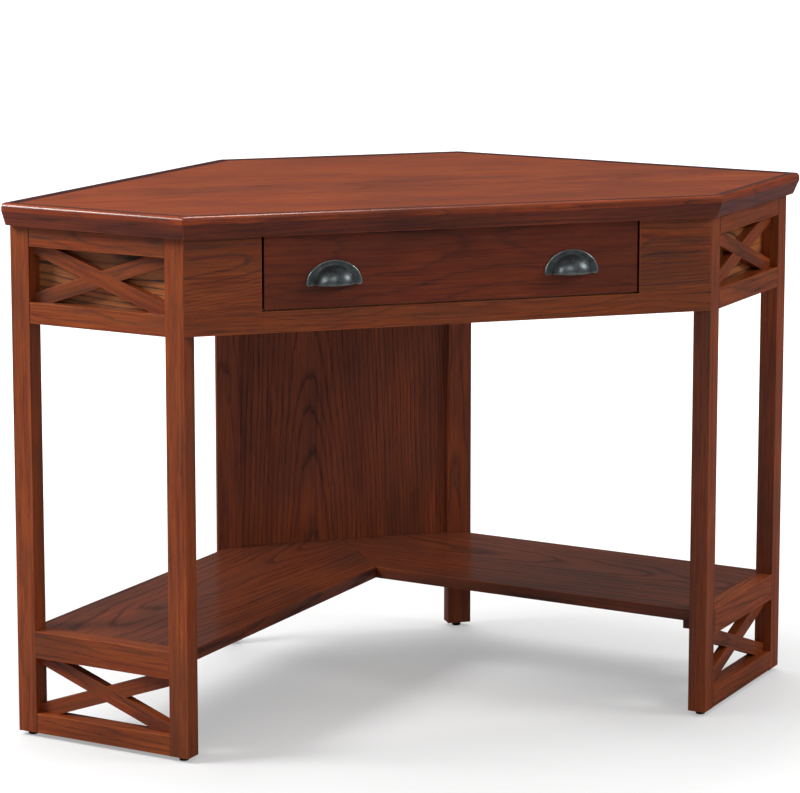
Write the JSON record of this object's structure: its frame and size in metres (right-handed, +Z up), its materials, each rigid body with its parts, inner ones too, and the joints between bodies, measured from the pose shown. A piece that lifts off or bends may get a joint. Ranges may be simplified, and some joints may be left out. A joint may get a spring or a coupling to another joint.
{
  "type": "corner desk",
  "caption": "Corner desk with a six-sided moulded top, lattice side frames, a V-shaped lower shelf and a wide drawer with cup pulls.",
  "frame": {"origin": "on the floor, below the middle of the desk's bounding box", "axes": "+X to the right of a person sitting at the desk, +Y towards the room's corner, +Z up; the drawer opens towards -Y"},
  "size_m": [1.1906, 0.612, 0.762],
  "materials": {
    "desktop_wood": "glossy orange-brown stained ash",
    "frame_wood": "satin red-brown stained ash",
    "shelf_wood": "glossy red-brown stained ash",
    "plain_wood": "clear-lacquered pale wood",
    "pull_metal": "aged dark pewter with worn bright edges",
    "slide_steel": "zinc-plated steel",
    "glide_plastic": "dark moulded plastic"
  },
  "bodies": {
    "desk": {"desktop_board": "desktop_wood", "front_moulding": "desktop_wood", "left_moulding": "desktop_wood", "right_moulding": "desktop_wood", "left_wall_edging": "desktop_wood", "right_wall_edging": "desktop_wood", "back_edging": "desktop_wood", "left_front_post": "frame_wood", "left_rear_post": "frame_wood", "left_top_rail": "frame_wood", "left_lattice_rail": "frame_wood", "left_shelf_rail": "frame_wood", "left_foot_rail": "frame_wood", "left_upper_bar_falling": "frame_wood", "left_upper_bar_rising": "frame_wood", "left_lower_bar_falling": "frame_wood", "left_lower_bar_rising": "frame_wood", "left_backing_board": "frame_wood", "right_front_post": "frame_wood", "right_rear_post": "frame_wood", "right_top_rail": "frame_wood", "right_lattice_rail": "frame_wood", "right_shelf_rail": "frame_wood", "right_foot_rail": "frame_wood", "right_upper_bar_falling": "frame_wood", "right_upper_bar_rising": "frame_wood", "right_lower_bar_falling": "frame_wood", "right_lower_bar_rising": "frame_wood", "right_backing_board": "frame_wood", "left_back_post": "frame_wood", "right_back_post": "frame_wood", "back_panel": "frame_wood", "back_top_rail": "frame_wood", "shelf_back_rail": "frame_wood", "left_wall_rail": "frame_wood", "right_wall_rail": "frame_wood", "left_shelf": "shelf_wood", "right_shelf": "shelf_wood", "shelf_cleats": "frame_wood", "apron_low_rail": "frame_wood", "apron_top_rail": "frame_wood", "left_apron_block": "frame_wood", "right_apron_block": "frame_wood", "left_carrier": "plain_wood", "right_carrier": "plain_wood", "corner_blocks": "plain_wood", "block_screws": "slide_steel", "slide_outer_members": "slide_steel", "slide_screws": "slide_steel", "foot_glides": "glide_plastic"},
    "slide_middles": {"slide_middle_members": "slide_steel"},
    "drawer": {"drawer_front": "frame_wood", "drawer_left_side": "plain_wood", "drawer_right_side": "plain_wood", "drawer_back": "plain_wood", "drawer_bottom": "plain_wood", "cup_pulls": "pull_metal", "pull_screws": "slide_steel", "slide_inner_members": "slide_steel", "box_screws": "slide_steel"}
  },
  "joints": [
    {"name": "drawer_slide", "type": "slide", "parent": "desk", "child": "drawer", "axis": [0, -1, 0], "range_m": [0, 0.36]},
    {"name": "slide_extension", "type": "slide", "parent": "desk", "child": "slide_middles", "axis": [0, -1, 0], "range_m": [0, 0.18]}
  ],
  "couplings": [
    {"joint": "slide_extension", "follows": "drawer_slide", "ratio": 0.5}
  ]
}
